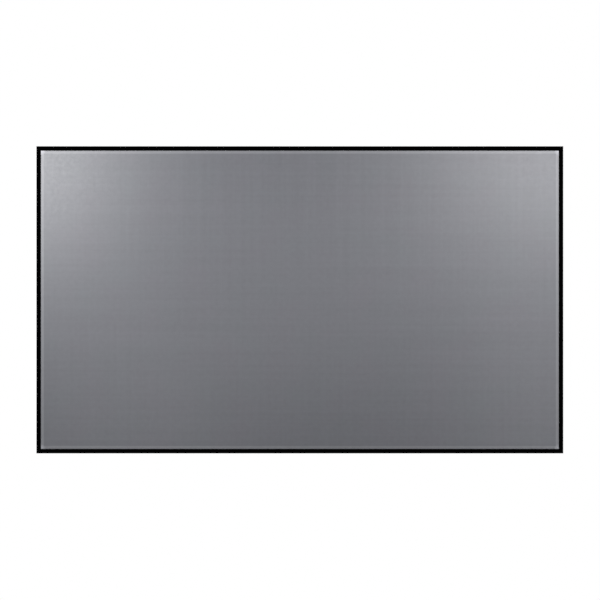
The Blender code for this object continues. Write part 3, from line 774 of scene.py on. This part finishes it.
def spring_path():
    """A hook round the rod, a close-wound coil, and a hook over the rail's rib."""
    wire = WIRE_DIAMETER / 2
    hook_radius = ROD_RADIUS + HOOK_GAP + wire
    coil_radius = COIL_DIAMETER / 2 - wire
    coil_start = R_ROD + hook_radius + ROD_HOOK_NECK + wire
    rib_lip = R_RAIL_INNER - RIB_SETBACK
    rib_inner = rib_lip - RIB_LIP
    coil_end = rib_inner - RAIL_WALL - RIB_HOOK_NECK - wire
    rib_depth = D_ROD - wire - GAP
    hook_r = rib_lip + GAP + wire
    hook_d = rib_depth - RIB_LIP_DEPTH - GAP - wire

    hook = arc((R_ROD, D_ROD), (hook_radius, hook_radius), HOOK_START, HOOK_END, HOOK_FACETS)
    first = [side_point(0, r, d) for r, d in hook]
    neck = [
        side_point(0, R_ROD + wire, D_ROD + hook_radius),
        side_point(0, R_ROD + hook_radius, D_ROD + coil_radius),
        side_point(0, coil_start - wire, D_ROD + coil_radius),
    ]
    coil = []
    steps = round(COIL_TURNS * COIL_STEPS)
    for step in range(2, steps + 1):
        angle = 2 * math.pi * COIL_TURNS * step / steps
        r = coil_start + (coil_end - coil_start) * step / steps
        coil.append(side_point(coil_radius * math.sin(angle), r, D_ROD + coil_radius * math.cos(angle)))
    last = [
        coil[-1],
        side_point(coil_radius, coil_end + wire, D_ROD - wire),
        side_point(0, coil_end + RIB_HOOK_NECK / 2, D_ROD),
        side_point(0, hook_r, D_ROD),
        side_point(0, hook_r, hook_d),
        side_point(0, rib_inner + GAP + wire, hook_d),
    ]
    start = cut_corners([first[-1], *neck, coil[0]], HOOK_ROUNDS)
    return first[:-1] + start + coil[1:-1] + cut_corners(last, HOOK_ROUNDS)


def make_springs():
    mesh = sweep("coil_spring", spring_path(), WIRE_DIAMETER / 2, WIRE_FACETS)
    nickel = spring_material()
    for side, turn, to_edge, _, count in SIDES:
        stations = spring_stations(side, turn, to_edge, count)
        for number, station in enumerate(stations, 1):
            node = f"tension_spring_{side}_{number:02d}"
            place = side_matrix(turn, to_edge) @ Matrix.Translation((station, 0, 0))
            add_piece(f"coil_{side}_{number:02d}", mesh, node, [nickel], place)


def make_rods():
    for_axis = {axis: fibreglass_material(axis) for axis in "XZ"}
    for side, turn, to_edge, _, _ in SIDES:
        low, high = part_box(f"tension_rod_{side}")
        half = max(high.x - low.x, high.z - low.z) / 2
        place = side_matrix(turn, to_edge)
        ends = [(-half, ROD_RADIUS - ROD_CHAMFER), (ROD_CHAMFER - half, ROD_RADIUS)]
        ends += [(half - ROD_CHAMFER, ROD_RADIUS), (half, ROD_RADIUS - ROD_CHAMFER)]
        shape = bmesh.new()
        rings = []
        for along, radius in ends:
            section = arc((R_ROD, D_ROD), (radius, radius), 0, 360, ROD_FACETS)[:-1]
            rings.append([shape.verts.new(place @ side_point(along, r, d)) for r, d in section])
        join_rings(shape, rings)
        name = f"rod_{side}"
        material = for_axis[length_axis(side)]
        piece = add_piece(name, finished_mesh(name, shape), f"tension_rod_{side}", [material])
        add_even_normals(piece)


# Film


def softened(points, radius):
    """The same section line with each inner corner cut into two points."""
    made = [points[0]]
    for before, corner, after in zip(points[:-2], points[1:-1], points[2:]):
        here = Vector(corner)
        for other in (Vector(before), Vector(after)):
            made.append(tuple(here + (other - here).normalized() * radius))
    made.append(points[-1])
    return made


def hem_end_angle():
    """Where the hem leaves the rod, in degrees, on its straight way back to the seam."""
    to_seam = (R_SEAM_END - R_ROD, D_SEAM - D_ROD)
    tangent = math.acos(HEM_RADIUS / math.hypot(*to_seam))
    return math.degrees(math.atan2(to_seam[1], to_seam[0]) + tangent) - 360


def film_sections():
    """The film's middle line across a side: roll, flap to the seam's end, hem, and inner seam."""
    centre = (R_CREST, D_RAIL + SHOULDER_DEPTH)
    radii = (R_CREST - R_FILM, SHOULDER_DEPTH + FILM_OFFSET)
    roll = [(R_CREST + FIELD_MARGIN, centre[1] - radii[1])]
    roll += arc(centre, radii, 270, 180, ROLL_FACETS)
    bend = FILM_OFFSET * math.tan(math.pi / 8)
    corners = [
        roll[-1],
        (R_FILM, D_FLANGE - FLANGE_CHAMFER + bend),
        (R_RAIL + FLANGE_CHAMFER - bend, D_HEM),
        (R_SEAM_START, D_HEM),
    ]
    flap = [*softened(corners, BEND_RADIUS), (R_SEAM_END, D_HEM)]
    hem = [flap[-1]]
    hem += arc((R_ROD, D_ROD), (HEM_RADIUS, HEM_RADIUS), 90, hem_end_angle(), HEM_FACETS)
    hem.append((R_SEAM_END, D_SEAM))
    return roll, flap, hem, [hem[-1], (R_SEAM_START, D_SEAM)]


def add_strip(shape, upper, lower, every=1, weld=False):
    """Faces between two rows of points, in every column or with windows in every other one."""
    for column in range(0, len(upper) - 1, every):
        corners = (upper[column], upper[column + 1], lower[column + 1], lower[column])
        face = shape.faces.new([shape.verts.new(corner) for corner in corners])
        face.material_index = 1 if weld else 0


def add_side(shape, sections, side, turn, to_edge, half_length, count):
    """Adds a side's roll, flap and hem, and returns the row of points where the field starts."""
    roll, flap, hem, seam = sections
    place = side_matrix(turn, to_edge)
    flap_end = half_length - FLAP_CORNER_CUT
    columns = [-flap_end]
    for station in spring_stations(side, turn, to_edge, count):
        columns += [station - WINDOW_WIDTH / 2, station + WINDOW_WIDTH / 2]
    columns.append(flap_end)

    def row(point, places):
        return [place @ side_point(along, *point) for along in places]

    rings = []
    for point in roll:
        corner = half_length - point[0]
        rings.append(row(point, [-corner, *columns, corner]))
    for upper, lower in zip(rings[:-1], rings[1:]):
        add_strip(shape, upper, lower)
    for line, every in ((flap, 1), (hem, 2), (seam, 1)):
        for upper, lower in zip(line[:-1], line[1:]):
            weld = lower == (R_SEAM_END, D_HEM)
            add_strip(shape, row(upper, columns), row(lower, columns), every, weld)
    return rings[0]


def add_field(shape, depth, top_row, right_row):
    """Fills the flat field with a grid that meets the rows of points along its sides."""
    across = sorted(point.x for point in top_row)
    heights = sorted(point.z for point in right_row)
    front = FRONT_Y + depth
    for low, high in zip(heights[:-1], heights[1:]):
        upper = [Vector((x, front, high)) for x in across]
        lower = [Vector((x, front, low)) for x in across]
        add_strip(shape, upper, lower)


def make_film():
    """The flat field, the rolled edge, and a hemmed flap on each side with windows for the hooks."""
    sections = film_sections()
    field_start, field_depth = sections[0][0]
    shape = bmesh.new()
    field_rows = {side[0]: add_side(shape, sections, *side) for side in SIDES}
    add_field(shape, field_depth, field_rows["top"], field_rows["right"])
    bmesh.ops.remove_doubles(shape, verts=shape.verts, dist=FILM_MERGE)
    bmesh.ops.recalc_face_normals(shape, faces=shape.faces)
    field = max(shape.faces, key=lambda face: face.calc_area())
    if field.normal.y > 0:
        bmesh.ops.reverse_faces(shape, faces=shape.faces)
    area = sum(face.calc_area() for face in shape.faces)

    back = film_back_material()
    materials = [film_front_material("film_front"), film_front_material("film_weld", welded=True)]
    materials += [back, back]
    mesh = finished_mesh("film_sheet", shape)
    film = add_piece("film_sheet", mesh, "screen_film", materials)
    solidify = film.modifiers.new("thickness", "SOLIDIFY")
    solidify.thickness = FILM_THICKNESS
    solidify.offset = 0
    solidify.use_even_offset = True
    solidify.material_offset = 2
    solidify.material_offset_rim = 2


# Studio


def soft_lamp(name, place, aim, size, power):
    data = bpy.data.lights.new(name, "AREA")
    data.shape = "SQUARE"
    data.size = size
    data.energy = power
    lamp = bpy.data.objects.new(name, data)
    lamp.location = place
    lamp.rotation_euler = (Vector(aim) - Vector(place)).to_track_quat("-Z", "Y").to_euler()
    lamp.visible_camera = False
    bpy.context.scene.collection.objects.link(lamp)


def floor_material():
    """Pale floor that fades out before its edges."""
    material, tree, shader = new_material("pale_floor", roughness=0.75)
    paint(tree, shader, FLOOR_WHITE, vary(tree, noise(tree, 2.0), 0.98, 1.02))
    width, depth = FLOOR_SIZE
    from_middle = object_point(tree, (2 / width, 2 / depth, 0))
    distance = add_node(tree, "ShaderNodeVectorMath", {0: from_middle}, "Value", operation="LENGTH")
    opacity = spread(tree, distance, *FLOOR_FADE, FLOOR_OPACITY, 0.0, smooth=True)
    tree.links.new(opacity, shader.inputs["Alpha"])
    return material


def make_backdrop():
    """A white world that the camera sees at full brightness and that lights the screen less."""
    world = bpy.data.worlds.new("studio")
    world.use_nodes = True
    tree = world.node_tree
    background = tree.nodes["Background"]
    background.inputs["Color"].default_value = (1.0, 1.0, 1.0, 1.0)
    seen = add_node(tree, "ShaderNodeLightPath", output="Is Camera Ray")
    tree.links.new(spread(tree, seen, 0.0, 1.0, AMBIENT_LIGHT, 1.0), background.inputs["Strength"])
    bpy.context.scene.world = world
    bpy.context.scene.view_settings.view_transform = "Standard"


def make_lamps():
    for name, x, z, distance, size, power in FRONT_LAMPS:
        soft_lamp(name, (x, -distance, z), (x, 0, z), size, power)
    for name, place, size, power in REAR_LAMPS:
        soft_lamp(name, place, (0, 0, 0), size, power)


def make_floor():
    width, depth = FLOOR_SIZE
    height = -HALF_HEIGHT - FLOOR_DROP
    corners = [(x * width / 2, y * depth / 2, height) for x, y in ((-1, -1), (1, -1), (1, 1), (-1, 1))]
    mesh = bpy.data.meshes.new("floor")
    mesh.from_pydata(corners, [], [(0, 1, 2, 3)])
    mesh.materials.append(floor_material())
    floor = bpy.data.objects.new("floor", mesh)
    bpy.context.scene.collection.objects.link(floor)


def make_camera():
    """Square on to the screen from far away, so that the frame lands where the photograph has it."""
    metres_per_pixel = 2 * HALF_WIDTH / (PHOTO_RIGHT - PHOTO_LEFT)
    data = bpy.data.cameras.new("camera")
    data.sensor_width = SENSOR_WIDTH
    data.lens = SENSOR_WIDTH * CAMERA_DISTANCE / (PHOTO_SIZE * metres_per_pixel)
    data.clip_end = 5 * CAMERA_DISTANCE
    camera = bpy.data.objects.new("camera", data)
    right = (PHOTO_SIZE - PHOTO_LEFT - PHOTO_RIGHT) / 2 * metres_per_pixel
    down = (PHOTO_SIZE - PHOTO_TOP - PHOTO_BOTTOM) / 2 * metres_per_pixel
    camera.location = (right, FRONT_Y - CAMERA_DISTANCE, -down)
    camera.rotation_euler = (math.radians(90), 0, 0)
    bpy.context.scene.collection.objects.link(camera)
    bpy.context.scene.camera = camera


make_camera()
make_rails()
make_trims()
make_keys()
make_support_bar()
make_brackets()
make_rods()
make_springs()
make_film()
make_backdrop()
make_lamps()
make_floor()
